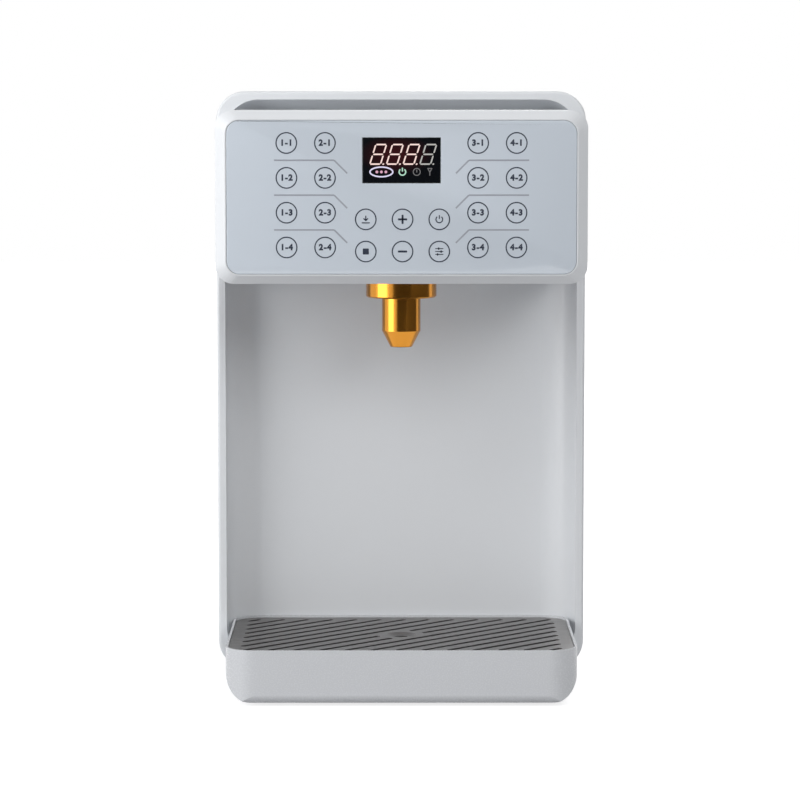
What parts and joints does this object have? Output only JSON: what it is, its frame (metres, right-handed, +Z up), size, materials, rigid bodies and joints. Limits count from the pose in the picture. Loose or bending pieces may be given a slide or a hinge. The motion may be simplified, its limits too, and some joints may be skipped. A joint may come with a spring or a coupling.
{
  "type": "fructose dispenser",
  "caption": "Countertop syrup dispenser with a touch key head, a tapered nozzle over a drip tray, a lidded tank and a gear pump inside.",
  "frame": {"origin": "on the table, midway across and midway between the head's face and the casing's back", "axes": "+Z up, +X to the right seen from the front, -Y towards the front"},
  "size_m": [0.27, 0.42, 0.43],
  "materials": {
    "painted_white": "satin",
    "moulded_white": "satin",
    "key_panel": "gloss",
    "lens_black": "gloss",
    "gold_brass": "polished",
    "plain_brass": "satin",
    "grid_steel": "brushed",
    "stainless": "brushed",
    "zinc_steel": "satin",
    "dark_rubber": "matte",
    "hose_silicone": "satin",
    "pad_silicone": "matte",
    "board_green": "satin",
    "black_plastic": "satin",
    "red_plastic": "gloss",
    "ivory_plastic": "satin"
  },
  "bodies": {
    "root": {"casing": "painted_white", "rear_cover": "painted_white", "front_moulding": "moulded_white", "head_housing": "moulded_white", "head_bezel": "moulded_white", "lid_seat": "moulded_white", "key_plate": "key_panel", "display_lens": "lens_black", "display_module": "black_plastic", "sensor_board": "board_green", "nozzle_collar": "gold_brass", "collar_nut": "plain_brass", "outlet_elbow": "plain_brass", "pump_fittings": "plain_brass", "syrup_tank": "stainless", "tank_stand": "zinc_steel", "base_plate": "zinc_steel", "cover_screws": "stainless", "stand_screws": "stainless", "head_screws": "stainless", "pump_bolts": "zinc_steel", "hinge_pin": "stainless", "pump_standoffs": "zinc_steel", "motor_bracket": "zinc_steel", "gearbox": "zinc_steel", "motor": "black_plastic", "pump_body": "stainless", "pump_cover": "stainless", "power_supply": "zinc_steel", "control_board": "board_green", "power_inlet": "black_plastic", "switch_housing": "black_plastic", "feet": "dark_rubber", "tank_gasket": "dark_rubber", "heater_pad": "pad_silicone", "thermostat": "black_plastic", "tank_outlet": "ivory_plastic", "suction_hose": "hose_silicone", "delivery_hose": "hose_silicone", "hose_clamps": "stainless"},
    "lid": {"top_lid": "moulded_white"},
    "tray": {"drip_tray": "moulded_white", "tray_pads": "dark_rubber"},
    "grid": {"drip_grid": "grid_steel"},
    "pump_drive": {"drive_gear": "plain_brass", "shaft_coupling": "zinc_steel", "motor_shaft": "stainless"},
    "pump_driven": {"driven_gear": "plain_brass"},
    "rocker": {"switch_rocker": "red_plastic"},
    "nozzle": {"nozzle": "gold_brass", "nozzle_seal": "dark_rubber", "valve_seat": "ivory_plastic", "valve_spring": "stainless"},
    "valve": {"valve_poppet": "ivory_plastic"}
  },
  "joints": [
    {"name": "lid_hinge", "type": "hinge", "parent": "root", "child": "lid", "pos_m": [0, 0.186, 0.42575], "axis": [-1, 0, 0], "range_deg": [0, 95]},
    {"name": "tray_slide", "type": "slide", "parent": "root", "child": "tray", "axis": [0, -1, 0], "range_m": [0, 0.16]},
    {"name": "grid_lift", "type": "slide", "parent": "tray", "child": "grid", "axis": [0, 0, 1], "range_m": [0, 0.05]},
    {"name": "pump_spin", "type": "hinge", "parent": "root", "child": "pump_drive", "pos_m": [0, 0, 0.054], "axis": [0, 1, 0], "continuous": true},
    {"name": "driven_spin", "type": "hinge", "parent": "root", "child": "pump_driven", "pos_m": [0, 0, 0.084], "axis": [0, 1, 0], "continuous": true},
    {"name": "rocker_tilt", "type": "hinge", "parent": "root", "child": "rocker", "pos_m": [0.062, 0.2041, 0.08], "axis": [1, 0, 0], "range_deg": [0, 16]},
    {"name": "nozzle_off", "type": "slide", "parent": "root", "child": "nozzle", "axis": [0, 0, -1], "range_m": [0, 0.03]},
    {"name": "valve_open", "type": "slide", "parent": "nozzle", "child": "valve", "axis": [0, 0, -1], "range_m": [0, 0.004], "stiffness_N_per_m": 250, "springref_m": -0.004, "deforming": ["valve_spring"]}
  ],
  "couplings": [
    {"joint": "driven_spin", "follows": "pump_spin", "ratio": -1}
  ]
}
